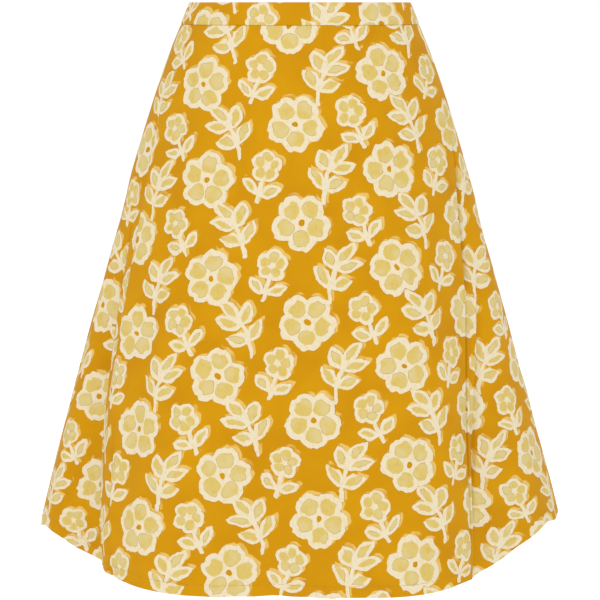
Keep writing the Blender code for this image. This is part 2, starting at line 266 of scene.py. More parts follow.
PULL_ROUNDING = 0.00035
PULL_END_WIDTH = 0.0066
PULL_END_PLACES = 21
PULL_SIDE_PLACES = 25
PULL_OUTLINE = ((-0.0006, 0.0046), (0.0072, 0.0036), (0.0207, PULL_END_WIDTH))
PULL_SLOT = (0.0024, -0.0006, -0.0040, 0.0006)  # its width, top, foot and corner
SLOT_CORNER_STEPS = 4


def smooth_step(share):
    share = np.clip(share, 0.0, 1.0)
    return share * share * (3.0 - 2.0 * share)


def along(rows, key, field):
    """A smooth curve through one column of a table, at values of its first column."""
    xs = np.array([row[0] for row in rows])
    ys = np.array([getattr(row, field) for row in rows])
    ends = np.arange(len(xs))
    later, sooner = np.minimum(ends + 1, len(xs) - 1), np.maximum(ends - 1, 0)
    slopes = (ys[later] - ys[sooner]) / (xs[later] - xs[sooner])
    i = np.clip(np.searchsorted(xs, key) - 1, 0, len(xs) - 2)
    span = xs[i + 1] - xs[i]
    s = (key - xs[i]) / span
    return (
        (1 + 2 * s) * (1 - s) ** 2 * ys[i]
        + s * (1 - s) ** 2 * span * slopes[i]
        + s * s * (3 - 2 * s) * ys[i + 1]
        + s * s * (s - 1) * span * slopes[i + 1]
    )


def hem_drop(turn):
    """How low the hem hangs at this turn."""
    return along(HEM, turn, "drop")


def line_turn(line, share):
    """Where a flute's or crease's line is, a share of the way down it."""
    early, late = line.middle - line.top, line.foot - line.middle
    return line.top + (3.0 * early - late) * share + 2.0 * (late - early) * share**2


def turn_between(turn, line):
    """Degrees from a line to a turn, from -180 to 180."""
    return (turn - line + 180.0) % 360.0 - 180.0


def off_line(turn, line, share, metres_a_degree=1.0):
    """How far a turn is from a line, as a share of the line's reach, and 1 beyond that."""
    offset = turn_between(turn, line_turn(line, share)) * metres_a_degree
    return np.minimum(np.abs(offset) / np.where(offset > 0.0, line.after, line.before), 1.0)


def flute_height(turn, drop):
    total = np.zeros_like(drop)
    for flute in FLUTES:
        share = np.clip((drop - flute.starts) / (HEM_DROP - flute.starts), 0.0, None)
        wave = np.cos(math.pi / 2 * off_line(turn, flute, share)) ** 2
        total += flute.height * share * smooth_step(share / FLUTE_ONSET) * wave
    return total


def crease_height(turn, drop, metres_a_degree):
    total = np.zeros_like(drop)
    for crease in CREASES:
        share = np.clip((drop - crease.starts) / (crease.ends - crease.starts), 0.0, 1.0)
        near = off_line(turn, crease, share, metres_a_degree)
        soft, keen = np.cos(math.pi / 2 * near) ** 2, 1.0 - np.sin(math.pi / 2 * near)
        fade = smooth_step(share / CREASE_ENDS) * smooth_step((1.0 - share) / CREASE_ENDS)
        total += crease.height * fade * (soft + (keen - soft) * crease.keen)
    return total


def ripple_height(turn, drop):
    total = np.zeros_like(drop)
    for ripple in RIPPLES:
        phase = np.radians(ripple.round_count * (turn + ripple.lean * drop) + ripple.lag)
        total += ripple.height * np.sin(phase)
    return total * smooth_step((drop - RIPPLE_STARTS) / RIPPLE_ONSET)


def pucker_height(turn, drop):
    """Small puckers under the waistband's seam and at the hem's sewing, and the dent of that."""
    below_band = np.exp(-((drop - BAND_HEIGHT) / PUCKER_REACH) ** 2)
    below_band *= smooth_step((drop - BAND_HEIGHT) / PUCKER_ONSET)
    from_stitch = drop - (hem_drop(turn) - STITCH_ABOVE)
    at_hem = np.exp(-((from_stitch / PUCKER_REACH) ** 2))
    often, far = PUCKER_WANDER
    uneven = np.sin(np.radians(SEAM_PUCKERS * turn) + far * np.sin(np.radians(often * turn)))
    dent = STITCH_DENT * np.exp(-((from_stitch / STITCH_DENT_REACH) ** 2))
    return PUCKER_HEIGHT * (below_band + at_hem) * uneven - dent


def surface(turn, drop, detail=1.0):
    """The points of the panels' outer face. detail is the share of the small forms on it."""
    sine, cosine = np.sin(np.radians(turn)), np.cos(np.radians(turn))
    width = along(SECTIONS, drop, "half_width")
    front, back = (along(SECTIONS, drop, field) for field in ("front", "back"))
    depth = np.where(cosine > 0.0, front, back)
    metres_a_degree = np.radians(np.hypot(width * cosine, depth * sine))
    length = np.hypot(sine / width, cosine / depth)
    still = np.exp(-((turn_between(turn, BACK_SEAM) / CALM_REACH) ** 2))
    still *= smooth_step((TAPE_END + CALM_FADE - drop) / CALM_FADE)
    fine = crease_height(turn, drop, metres_a_degree) + ripple_height(turn, drop)
    fine += pucker_height(turn, drop)
    out = flute_height(turn, drop) + detail * fine * (1.0 - still)
    x = width * sine + sine / width / length * out
    y = -depth * cosine - cosine / depth / length * out
    return np.stack([x, y, -drop + 0.0 * x], axis=-1)


def unit(vectors):
    return vectors / np.linalg.norm(vectors, axis=-1, keepdims=True)


def run_along(points):
    """How far each of a line's points is along it."""
    steps = np.linalg.norm(np.diff(points, axis=0), axis=1)
    return np.concatenate([[0.0], np.cumsum(steps)])


def cloth_frame(turn, drop, detail=1.0):
    """Points of the outer face, and the directions out of it."""
    beside = [surface(turn + way * TURN_STEP, drop, detail) for way in (1, -1)]
    down = [surface(turn, drop + way * DROP_STEP, detail) for way in (1, -1)]
    out = unit(np.cross(down[0] - down[1], beside[0] - beside[1]))
    return surface(turn, drop, detail), out


def degrees_for(distance, turn, drop):
    """The turn that a distance round the cloth takes."""
    one_degree = surface(turn + 0.5, drop, 0) - surface(turn - 0.5, drop, 0)
    return distance / np.linalg.norm(one_degree, axis=-1)


def rolled_in(distance, reach, depth):
    """How far a rounded edge has turned in, at a distance from it."""
    share = 1.0 - np.clip(distance / reach, 0.0, 1.0)
    return depth * (1.0 - np.sqrt(1.0 - share * share))


def untangled(inner, outer):
    """Evens out the inner face where a keen crease would fold it over itself."""
    for _ in range(UNTANGLING_ROUNDS):
        out_steps, in_steps = np.diff(outer, axis=1), np.diff(inner, axis=1)
        crossed = (out_steps * in_steps).sum(-1) < UNTANGLED_SHARE * (out_steps**2).sum(-1)
        near = crossed[:, 1:] | crossed[:, :-1]
        evened = (inner[:, 2:] + inner[:, :-2]) / 2
        inner[:, 1:-1] = np.where(near[..., None], evened, inner[:, 1:-1])
    return inner


def no_gap(drop):
    return 0.0 * drop


def back_seam_gap(drop):
    """How far each edge of the waistband's centre-back seam stands aside from it."""
    offset = np.minimum(np.abs(drop - SLIDER_DROP) / PARTING_REACH, 1.0)
    return PARTING * np.cos(math.pi / 2 * offset) ** 2


def spread_columns(first, last, drop, count):
    """Turns from first to last at a drop, closer together near the main folds and with one of
    them on the line of each keen crease."""
    fine = np.linspace(first, last, FINE_TURNS)
    density = np.ones_like(fine)
    for fold in MAIN_FOLDS:
        share = np.clip((drop - fold.starts) / (fold.ends - fold.starts), 0.0, 1.0)
        near = np.exp(-((turn_between(fine, line_turn(fold, share)) / CROWD_REACH) ** 2))
        density += CROWDING * smooth_step(share / CREASE_ENDS) * near
    share = np.cumsum(density) - density[0]
    turns = np.interp(np.linspace(0.0, share[-1], count), share, fine)
    for crease in CREASES:
        share = (drop - crease.starts) / (crease.ends - crease.starts)
        line = line_turn(crease, share)
        nearest = np.argmin(np.abs(turns - line))
        if crease.keen == 1.0 and 0.0 < share < 1.0 and 0 < nearest < count - 1:
            turns[nearest] = line
    return turns


Piece = namedtuple("Piece", "turns drops side_distance top_distance foot_distance")


def cut_piece(part, columns, top, foot_at, inner_rows, foot_steps, gaps):
    """A grid of places on a piece of cloth, with its rows and columns close at its edges."""
    edge = np.array(EDGE_STEPS)
    foot = np.array(foot_steps)[::-1]
    shares = np.linspace(0.0, 1.0, inner_rows + 2)[1:-1]
    row_count = len(edge) + inner_rows + len(foot)

    def drops_at(turns):
        """The drops of the piece's rows, at the turns of each."""
        feet = foot_at(turns)
        near_top, inner, near_foot = np.split(feet, [len(edge), row_count - len(foot)])
        start, end = top + edge[-1], inner - foot[0]
        rows = [
            top + edge[:, None] + 0.0 * near_top,
            start + (end - start) * shares[:, None],
            near_foot - foot[:, None],
        ]
        return np.concatenate(rows)

    turns = []
    middle = (part.first + part.last) / 2
    for drop in drops_at(np.full((row_count, 1), middle))[:, 0]:
        before, after = (edge + gap(drop) for gap in gaps)
        here = np.full(len(edge), drop)
        starts = part.first + degrees_for(before, part.first, here)
        ends = part.last - degrees_for(after, part.last, here)
        inner = spread_columns(starts[-1], ends[-1], drop, columns + 2)[1:-1]
        turns.append(np.concatenate([starts, inner, ends[::-1]]))
    turns = np.array(turns)
    drops = drops_at(turns)
    side = np.concatenate([edge, np.full(columns, edge[-1]), edge[::-1]])
    top_distance = np.concatenate([edge, np.full(row_count - len(edge), edge[-1])])
    return Piece(turns, drops, side[None, :], top_distance[:, None], foot_at(turns) - drops)


def lay_flat(piece, points, middle, top):
    """Where the points of a piece lay before it was sewn, in metres, x to the right and y up.
    Each row is unrolled from the straight grain, which hangs down at the middle turn. It is as
    long as the creased cloth, and bends as the plain form under the creases does."""
    lengths = np.linalg.norm(np.diff(points, axis=1), axis=-1)
    plain, normals = cloth_frame(piece.turns, piece.drops, 0)
    steps = np.diff(plain, axis=1)
    n = normals[:, 1:-1]
    a = steps[:, :-1] - (steps[:, :-1] * n).sum(-1, keepdims=True) * n
    b = steps[:, 1:] - (steps[:, 1:] * n).sum(-1, keepdims=True) * n
    bend = np.arctan2((np.cross(a, b) * n).sum(-1), (a * b).sum(-1))
    heading = np.concatenate([np.zeros((len(points), 1)), np.cumsum(bend, axis=1)], axis=1)

    grain_drops = np.linspace(top, HEM_DROP + PAST_HEM, FINE_GRAIN)
    grain_length = run_along(surface(np.full_like(grain_drops, middle), grain_drops, 0))

    flat = np.empty(points.shape[:2] + (2,))
    for r, turns in enumerate(piece.turns):
        start = np.interp(middle, (turns[1:] + turns[:-1]) / 2, heading[r])
        direction = heading[r] - start
        x = np.concatenate([[0.0], np.cumsum(lengths[r] * np.cos(direction))])
        y = np.concatenate([[0.0], np.cumsum(lengths[r] * np.sin(direction))])
        down = np.interp(np.interp(middle, turns, piece.drops[r]), grain_drops, grain_length)
        flat[r, :, 0] = x - np.interp(middle, turns, x)
        flat[r, :, 1] = y - np.interp(middle, turns, y) - down
    return flat


def placed(name, mesh):
    made = bpy.data.objects.new(name, mesh)
    bpy.context.scene.collection.objects.link(made)
    return made


def mesh_object(name, points, faces, materials):
    mesh = bpy.data.meshes.new(name)
    mesh.from_pydata(np.asarray(points).tolist(), [], [list(map(int, f)) for f in faces])
    for each in materials:
        mesh.materials.append(each)
    maker = bmesh.new()
    maker.from_mesh(mesh)
    bmesh.ops.recalc_face_normals(maker, faces=maker.faces)
    maker.to_mesh(mesh)
    maker.free()
    mesh.shade_smooth()
    return placed(name, mesh)


def set_cut(made, flat):
    """Keeps each point's place on the flat cut as the UV map that the print reads."""
    mesh = made.data
    layer = mesh.uv_layers.new(name=CUT_MAP)
    corners = np.empty(len(mesh.loops), dtype=np.int32)
    mesh.loops.foreach_get("vertex_index", corners)
    layer.data.foreach_set("uv", flat[corners].astype(np.float32).ravel())


def rising_quads(piece, points):
    """Which quads of a piece lie closer to its creases when parted from their foot on the left."""
    turn, drop = (
        (q[:-1, :-1] + q[1:, 1:] + q[1:, :-1] + q[:-1, 1:]) / 4 for q in (piece.turns, piece.drops)
    )
    middle = 2 * surface(turn, drop)
    falling = np.linalg.norm(points[:-1, :-1] + points[1:, 1:] - middle, axis=-1)
    rising = np.linalg.norm(points[1:, :-1] + points[:-1, 1:] - middle, axis=-1)
    return rising < falling


def halves(a, b, c, d, other=np.False_):
    """Two triangles for each quad, parted from a to c, or from b to d where other is set."""
    first = np.stack([a, b, np.where(other, d, c)], axis=-1)
    second = np.stack([np.where(other, b, a), c, d], axis=-1)
    return np.stack([first, second], axis=-2).reshape(-1, 3)


def closed_shell(name, outer, inner, flat, inner_flat, kinds, materials, rising=np.False_):
    """A closed wall between two grids. kinds says which material each of its inner faces shows,
    and rising says which of its quads are parted from their foot on the left."""
    rows, columns = outer.shape[:2]
    index = np.arange(rows * columns).reshape(rows, columns)
    back = index + rows * columns
    outside = halves(index[:-1, :-1], index[1:, :-1], index[1:, 1:], index[:-1, 1:], rising)
    inside = halves(back[:-1, :-1], back[:-1, 1:], back[1:, 1:], back[1:, :-1], rising)
    rims = [
        halves(index[0, :-1], index[0, 1:], back[0, 1:], back[0, :-1]),
        halves(index[-1, :-1], back[-1, :-1], back[-1, 1:], index[-1, 1:]),
        halves(index[:-1, 0], back[:-1, 0], back[1:, 0], index[1:, 0]),
        halves(index[:-1, -1], index[1:, -1], back[1:, -1], back[:-1, -1]),
    ]
    faces = np.concatenate([outside, inside, *rims])
    points = np.concatenate([outer.reshape(-1, 3), inner.reshape(-1, 3)])
    made = mesh_object(name, points, faces, materials)
    set_cut(made, np.concatenate([flat.reshape(-1, 2), inner_flat.reshape(-1, 2)]))
    shown = np.zeros(len(faces), dtype=np.int32)
    shown[len(outside) : len(outside) + len(inside)] = np.repeat(kinds.ravel(), 2)
    made.data.polygons.foreach_set("material_index", shown)
    return made


def round_threads(centres, normals, radius, sides):
    """Round threads along rows of points, as their points and faces."""
    forward = unit(np.gradient(centres, axis=1))
    across = unit(np.cross(forward, normals))
    out = np.cross(across, forward)
    angles = math.tau * np.arange(sides) / sides
    ring = np.cos(angles)[:, None] * out[:, :, None] + np.sin(angles)[:, None] * across[:, :, None]
    points = centres[:, :, None] + ring * np.asarray(radius)[..., None, None]
    index = np.arange(points.size // 3).reshape(points.shape[:3])
    beside = np.roll(index, -1, axis=2)
    walls = [index[:, :-1], index[:, 1:], beside[:, 1:], beside[:, :-1]]
    ends = index[:, [0, -1]].reshape(-1, sides)
    return points.reshape(-1, 3), [*np.stack(walls, axis=-1).reshape(-1, 4), *ends]


def plate(name, outline, holes, thickness, rounding, place, look):
    """A flat plate with rounded edges. Its outline lies in the x and y of its place."""
    curve = bpy.data.curves.new(name, "CURVE")
    curve.dimensions = "2D"
    curve.fill_mode = "BOTH"
    curve.extrude = thickness / 2 - rounding
    curve.bevel_depth = rounding
    curve.bevel_resolution = 3
    curve.offset = -rounding
    for loop in (outline, *holes):
        spline = curve.splines.new("POLY")
        spline.points.add(len(loop) - 1)
        for point, (x, y) in zip(spline.points, loop):
            point.co = (x, y, 0.0, 1.0)
        spline.use_cyclic_u = True
    drawn = bpy.data.objects.new(name + "_drawing", curve)
    mesh = bpy.data.meshes.new_from_object(drawn)
    bpy.data.objects.remove(drawn)
    mesh.transform(place)
    mesh.name = name
    mesh.materials.clear()
    mesh.materials.append(look)
    mesh.shade_smooth()
    mesh.set_sharp_from_angle(angle=math.radians(SHARP_EDGE))
    return placed(name, mesh)


# -------- the print, in millimetres

MILLIMETRES = 1000.0  # in a metre
CUT_MAP = "cut"
PRINT_LEAN = 3.5  # degrees that the print is off the grain
WEAVE = (0.55, 0.6)  # from thread to thread, across and up

# The repeat: columns of motifs, each half a row lower than the one before
COLUMN_STEP = 104.0
ROW_STEP = 109.0

OUTLINE = 5.8  # the off-white band round a motif
THIN_OUTLINE = 3.8
OUTLINE_UNEVEN = 3.0
SHADOW_SHIFT = (3.3, 2.7)  # the light yellow under-print, out of register

FLOWER_AT = (0.0, 0.0)
FLOWER_PETALS = 5
FLOWER_PETAL_AT = 17.5
FLOWER_PETAL = 15.2
FLOWER_NOTCH_AT = 37.5
FLOWER_NOTCH = 6.6
FLOWER_HEART = 7.4
FLOWER_EYE = 3.3
FLOWER_SPIN = (0.9, 0.35)  # in radians: each column's past the last one's, and the first's

SPRIG_AT = (33.0, 51.5)
SPRIG_LEAN = 24.0
SPRIG_BEND = 0.0065
SPRIG_LEAF = (14.8, 8.0)  # half its length and half its width
SPRIG_LEAF_AT = (11.5, 3.0)
SPRIG_LEAF_LEAN = 42.0
SPRIG_PAIR_STEP = 20.0
SPRIG_PAIRS_AT = -10.0
SPRIG_TOP_AT = 25.0
SPRIG_STEM = (2.4, -31.0, 22.0)  # half its width, its foot and its top

BLOOM_AT = (66.0, 0.0)
BLOOM_LEAN = -19.0
BLOOM_HEAD_AT = 11.0
BLOOM_PETALS = 5
BLOOM_PETAL_AT = 9.0
BLOOM_PETAL = 9.2
BLOOM_HEART = 3.6
BLOOM_SPIN = (0.5, 0.3)
BLOOM_STEM = (2.4, -29.0, 2.0)
BLOOM_LEAF = (12.5, 6.8)
BLOOM_LEAF_AT = (11.5, -15.0)
BLOOM_LEAF_LEAN = 35.0

# The hand's unevenness: the scale of each waver, and how far it moves an edge
WAVERS = ((13.0, 5.0), (3.6, 1.5))
CLOUDS = 55.0
PATCHES = 21.0
BRUSH = 3.4
BRUSH_STRETCH = 0.6
FILL_WAVER = 9.0
BREAKS = 16.0
INK_EDGE = 0.5  # how soft each colour's edge is
FILL_EDGE = 1.2

# Where each tone gives way to the next: a noise's low and high readings
GROUND_CLOUDS = (0.35, 0.75)
UNDER_PATCHES = (0.42, 0.52)
BAND_BRUSHING = (0.48, 0.72)
FILL_BRUSHING = (0.50, 0.75)
FILL_PALING = (0.44, 0.62)
HAIRLINE_BREAKS = (0.50, 0.55)
KEYLINE_BREAKS = (0.47, 0.55)
BAND_TONING = 0.8  # how far the second tones of a motif's band and its fill take over
FILL_TONING = 0.5

# Fine lines: how far outside an edge each lies, half its width, its softness and its strength
HAIRLINE_SHAPE = (-0.2, 0.2, 0.4, 0.75)
KEYLINE_SHAPE = (0.25, 0.35, 0.5, 0.55)


def srgb(code):
    """The linear colour of a hexadecimal code."""
    parts = [int(code[i : i + 2], 16) / 255 for i in (0, 2, 4)]
    return [p / 12.92 if p <= 0.04045 else ((p + 0.055) / 1.055) ** 2.4 for p in parts] + [1.0]


GROUND = srgb("C38B00")
GROUND_DEEP = srgb("BA8000")
OFF_WHITE = srgb("D8CCAF")
CREAM = srgb("D2BF92")
FILL = srgb("CAB163")
FILL_DEEP = srgb("BD9D49")
FILL_PALE = srgb("CDC092")
UNDER_PRINT = srgb("D3AF5E")
HAIRLINE = srgb("94690F")
REVERSE = srgb("DFC27C")
THREAD_COLOUR = srgb("CB9620")
THREAD_SHADE = srgb("AC770C")
# painted shade for the gaps between the overlock loops
OVERLOCK_PAINTED_SHADE = srgb("9C7016")
COIL_COLOUR = srgb("BE8A20")
COIL_SHADE = srgb("A4720F")
TAPE_COLOUR = srgb("B9841B")
TAPE_SHADE = srgb("A26F0E")
ENAMEL_COLOUR = srgb("C28F26")
ENAMEL_SHADE = srgb("AD7915")
BRASS = srgb("D8C27A")


def feed(tree, place, value):
    """Gives a node's input a reading, another node's output or a fixed value."""
    value = value.socket if isinstance(value, Reading) else value
    if isinstance(value, bpy.types.NodeSocket):
        tree.links.new(value, place)
    else:
        place.default_value = value


def add_node(tree, kind, **inputs):
    """A new node, with some of its inputs fed by name."""
    node = tree.nodes.new("ShaderNode" + kind)
    for name, value in inputs.items():
        feed(tree, node.inputs[name], value)
    return node


def math_method(kind):
    """A method that works a reading out further, by one Math node of this kind."""
    return lambda reading, *others: reading.worked(kind, *others)


class Reading:
    """A number that a shader works out at each place. Arithmetic on it adds Math nodes."""

    def __init__(self, tree, socket):
        self.tree = tree
        self.socket = socket

    def worked(self, operation, *others, first=None, clamp=False):
        node = add_node(self.tree, "Math")
        node.operation = operation
        node.use_clamp = clamp
        values = (self, *others) if first is None else (first, self)
        for place, value in zip(node.inputs, values):
            feed(self.tree, place, value)
        return Reading(self.tree, node.outputs[0])

    __add__ = math_method("ADD")
    __sub__ = math_method("SUBTRACT")
    __mul__ = math_method("MULTIPLY")
    __abs__ = math_method("ABSOLUTE")
    least = math_method("MINIMUM")
    most = math_method("MAXIMUM")

    def __rsub__(self, other):
        return self.worked("SUBTRACT", first=other)

    def wave(self, pitch):
        return (self * (math.tau / pitch)).worked("SINE")

    def nearest(self, step):
        """The number of the step that is nearest."""
        return (self * (1.0 / step)).worked("ROUND")

    def within(self, softness):
        """1 where the reading is below 0 and 0 where it is above, with a soft edge."""
        return (self * (-1.0 / softness)).worked("ADD", 0.5, clamp=True)

    def between(self, low, high):
        """0 where the reading is low and 1 where it is high."""
        return (self - low).worked("MULTIPLY", 1.0 / (high - low), clamp=True)


def long(x, y):
    return (x * x + y * y).worked("SQRT")


def turned(x, y, degrees):
    """A place seen in axes that have turned anticlockwise."""
    c, s = math.cos(math.radians(degrees)), math.sin(math.radians(degrees))
    return x * c + y * s, y * c - x * s


def alternately(column):
    """1 in one column and -1 in the next."""
    return 1.0 - column.worked("FLOORED_MODULO", 2.0) * 2.0


def in_repeat(x, y, at):
    """The place within the repeat of a motif, mirrored in every other column, and the column."""
    column = (x - at[0]).nearest(COLUMN_STEP)
    across = x - at[0] - column * COLUMN_STEP
    up = y - at[1] - column * (ROW_STEP / 2)
    up = up - up.nearest(ROW_STEP) * ROW_STEP
    return across * alternately(column), up, column


def petals(x, y, count, at, radius, spin):
    """How far a place is outside a ring of round petals, and its place on the nearest one."""
    step = 2 * math.pi / count
    angle = y.worked("ARCTAN2", x) + spin
    angle = angle - angle.nearest(step) * step
    distance = long(x, y)
    along_it, across = distance * angle.worked("COSINE"), distance * angle.worked("SINE")
    return long(along_it - at, across) - radius, along_it, across, distance


def leaf(x, y, size):
    """How far a place is outside a pointed leaf along x, of half a length and half a width."""
    half_length, half_width = size
    radius = (half_length**2 + half_width**2) / (2 * half_width)
    return long(x, abs(y) + (radius - half_width)) - radius


def stem(x, y, size):
    """How far a place is outside an upright bar with round ends."""
    half_width, foot, top = size
    beyond = (y - top).most(foot - y).most(0.0)
    return long(x, beyond) - half_width


def flower(x, y):
    """Distances outside a flower, its fill and its eye."""
    x, y, column = in_repeat(x, y, FLOWER_AT)
    spin = column * FLOWER_SPIN[0] + FLOWER_SPIN[1]
    edge, along_it, across, distance = petals(
        x, y, FLOWER_PETALS, FLOWER_PETAL_AT, FLOWER_PETAL, spin
    )
    edge = edge.most(FLOWER_NOTCH - long(along_it - FLOWER_NOTCH_AT, across))
    fill = (edge + OUTLINE).most(FLOWER_HEART - distance)
    return edge, fill, distance - FLOWER_EYE


def sprig(x, y):
    """Distances outside a sprig of paired leaves and their fill."""
    x, y, _ = in_repeat(x, y, SPRIG_AT)
    x, y = turned(x, y, -SPRIG_LEAN)
    x = x - y * y * SPRIG_BEND
    pair = (y - SPRIG_PAIRS_AT).nearest(SPRIG_PAIR_STEP).most(0.0).least(1.0)
    leaf_y = y - SPRIG_PAIRS_AT - pair * SPRIG_PAIR_STEP
    side = turned(abs(x) - SPRIG_LEAF_AT[0], leaf_y - SPRIG_LEAF_AT[1], SPRIG_LEAF_LEAN)
    leaves = leaf(*side, SPRIG_LEAF).least(leaf(y - SPRIG_TOP_AT, x, SPRIG_LEAF))
    return leaves.least(stem(x, y, SPRIG_STEM)), leaves + THIN_OUTLINE


def bloom(x, y):
    """Distances outside a small flower on its stem, and its fill."""
    x, y, column = in_repeat(x, y, BLOOM_AT)
    x, y = turned(x, y, -BLOOM_LEAN)
    spin = column * BLOOM_SPIN[0] + BLOOM_SPIN[1]
    head, _, _, distance = petals(
        x, y - BLOOM_HEAD_AT, BLOOM_PETALS, BLOOM_PETAL_AT, BLOOM_PETAL, spin
    )
    side = turned(abs(x) - BLOOM_LEAF_AT[0], y - BLOOM_LEAF_AT[1], BLOOM_LEAF_LEAN)
    leaves = leaf(*side, BLOOM_LEAF)
    fill = (head + THIN_OUTLINE).most(BLOOM_HEART - distance).least(leaves + THIN_OUTLINE)
    return head.least(leaves).least(stem(x, y, BLOOM_STEM)), fill


def motifs(x, y):
    """Distances outside all the motifs, their fill and the flowers' eyes."""
    edge, fill, eye = flower(x, y)
    for motif in (sprig, bloom):
        more_edge, more_fill = motif(x, y)
        edge, fill = edge.least(more_edge), fill.least(more_fill)
    return edge, fill, eye


def noise_node(tree, x, y, scale, detail):
    """A flat noise of a scale in millimetres."""
    place = add_node(tree, "CombineXYZ", X=x, Y=y).outputs[0]
    return add_node(tree, "TexNoise", Vector=place, Scale=1.0 / scale, Detail=detail)


def noise(tree, x, y, scale, detail=1.0):
    return Reading(tree, noise_node(tree, x, y, scale, detail).outputs[0])


def wobbled(tree, x, y, scale, amount):
    """The place, moved unevenly as a hand would draw it."""
    source = noise_node(tree, x, y, scale, 0.0).outputs["Color"]
    parts = add_node(tree, "SeparateColor", Color=source)
    red, green = (Reading(tree, parts.outputs[i]) for i in (0, 1))
    return x + (red - 0.5) * amount, y + (green - 0.5) * amount


def mixed(tree, share, first, second):
    """A mix of two colours, each a fixed one or a node's output."""
    node = add_node(tree, "Mix")
    node.data_type = "RGBA"
    for i, value in ((0, share), (6, first), (7, second)):
        feed(tree, node.inputs[i], value)
    return node.outputs[2]


def broken_line(reading, shape, breaks):
    """A fine line along the edge of something, where its breaks let it show."""
    at, half_width, softness, strength = shape
    return (abs(reading - at) - half_width).within(softness) * breaks * strength


def readings(tree, source, count):
    """The first readings of a place, in millimetres."""
    parts = add_node(tree, "SeparateXYZ", Vector=source)
    return [Reading(tree, parts.outputs[i]) * MILLIMETRES for i in range(count)]


def cut_place(tree):
    cut = add_node(tree, "UVMap")
    cut.uv_map = CUT_MAP
    return readings(tree, cut.outputs[0], 2)


def object_place(tree):
    return readings(tree, add_node(tree, "TexCoord").outputs["Object"], 3)


def print_group():
    """The print as a node group: its colour, and the weave under it."""
    tree = bpy.data.node_groups.new("skirt_print", "ShaderNodeTree")
    tree.interface.new_socket("Colour", in_out="OUTPUT", socket_type="NodeSocketColor")
    tree.interface.new_socket("Weave", in_out="OUTPUT", socket_type="NodeSocketFloat")
    across, up = cut_place(tree)
    flat_x, flat_y = turned(across, up, PRINT_LEAN)
    x, y = flat_x, flat_y
    for scale, amount in WAVERS:
        x, y = wobbled(tree, x, y, scale, amount)
    edge, fill, eye = motifs(x, y)
    shadow, _, _ = motifs(x - SHADOW_SHIFT[0], y - SHADOW_SHIFT[1])

    cloudy = noise(tree, flat_x, flat_y, CLOUDS, 2.0)
    patchy = noise(tree, flat_x, flat_y, PATCHES)
    brushed = noise(tree, flat_x, flat_y * BRUSH_STRETCH, BRUSH, 2.0)
    breaks = noise(tree, flat_x, flat_y, BREAKS)
    fill = fill + (noise(tree, flat_x, flat_y, FILL_WAVER) - 0.5) * OUTLINE_UNEVEN

    ground = mixed(tree, cloudy.between(*GROUND_CLOUDS), GROUND, GROUND_DEEP)
    under = shadow.within(INK_EDGE) * patchy.between(*UNDER_PATCHES)
    band = mixed(tree, brushed.between(*BAND_BRUSHING) * BAND_TONING, OFF_WHITE, CREAM)
    filled = mixed(tree, brushed.between(*FILL_BRUSHING) * FILL_TONING, FILL, FILL_DEEP)
    filled = mixed(tree, patchy.between(*FILL_PALING) * FILL_TONING, filled, FILL_PALE)
    hairline = broken_line(fill, HAIRLINE_SHAPE, patchy.between(*HAIRLINE_BREAKS))
    keyline = broken_line(edge, KEYLINE_SHAPE, breaks.between(*KEYLINE_BREAKS))
    colour = ground
    for share, ink in (
        (under, UNDER_PRINT),
        (edge.within(INK_EDGE), band),
        (fill.within(FILL_EDGE), filled),
        (eye.within(INK_EDGE), ground),
        (hairline, HAIRLINE),
        (keyline, HAIRLINE),
    ):
        colour = mixed(tree, share, colour, ink)

    out = tree.nodes.new("NodeGroupOutput")
    feed(tree, out.inputs["Colour"], colour)
    feed(tree, out.inputs["Weave"], across.wave(WEAVE[0]) * up.wave(WEAVE[1]))
    return tree


# -------- the materials


def new_material(name, settings):
    """A material, its tree and its shader, with some of the shader's own inputs set."""
    made = bpy.data.materials.new(name)
    made.use_nodes = True
    shader = made.node_tree.nodes["Principled BSDF"]
    for key, value in settings.items():
        shader.inputs[key].default_value = value
    return made, made.node_tree, shader


def surfaced(tree, shader, colour, height, strength, distance, **under):
    """Gives a shader its colour, and a bump that may lie over another."""
    bump = add_node(tree, "Bump", Height=height, Strength=strength, Distance=distance, **under)
    feed(tree, shader.inputs["Base Color"], colour)
    feed(tree, shader.inputs["Normal"], bump.outputs[0])


def cotton(name, printed, washed_out):
    """The printed cotton. Its reverse shows the print through the cloth, paler."""
    settings = {
        "Roughness": 0.85, "Sheen Weight": 0.03, "Sheen Roughness": 0.45, "Specular IOR Level": 0.12,
    }
    made, tree, shader = new_material(name, settings)
    group = add_node(tree, "Group")
    group.node_tree = printed
    colour = group.outputs["Colour"]
    if washed_out:
        colour = mixed(tree, washed_out, colour, REVERSE)
    place = add_node(tree, "TexCoord").outputs["Object"]
    crumple = add_node(tree, "TexNoise", Vector=place, Scale=55.0, Detail=3.0).outputs[0]
    soft = add_node(tree, "Bump", Height=crumple, Strength=0.35, Distance=0.0012).outputs[0]
    surfaced(tree, shader, colour, group.outputs["Weave"], 0.35, 0.00004, Normal=soft)
    return made


def twisted(name, colour, shade, roughness):
    """Spun thread or drawn nylon, with the fine slanting lines of its twist."""
    made, tree, shader = new_material(name, {"Roughness": roughness, "Sheen Weight": 0.05})
    x, y, z = object_place(tree)
    twist = (x + y + z * 1.6).wave(0.35)
    patchy = noise(tree, x + y, z, 2.2)
    tone = mixed(tree, (twist * 0.25 + patchy).between(0.2, 0.9), colour, shade)
    surfaced(tree, shader, tone, twist, 0.4, 0.00004)
    return made


def overlocked(name):
    """A raw edge under the loops of its overlock thread. Between the loops, where the bump is low,
    the edge is painted darker as shade.
    """
    made, tree, shader = new_material(name, {"Roughness": 0.85, "Sheen Weight": 0.05})
    x, y = cut_place(tree)
    loops, crossing = (y + x * 0.35).wave(1.9), (y - x * 0.8).wave(1.9)
    over = loops.most(crossing * 0.8)
    # painted shade: dark where the bump is low between the loops, the thread's colour on them
    tone = mixed(tree, over.between(-0.1, 0.5), OVERLOCK_PAINTED_SHADE, THREAD_COLOUR)
    surfaced(tree, shader, tone, over, 0.6, 0.0002)
    return made


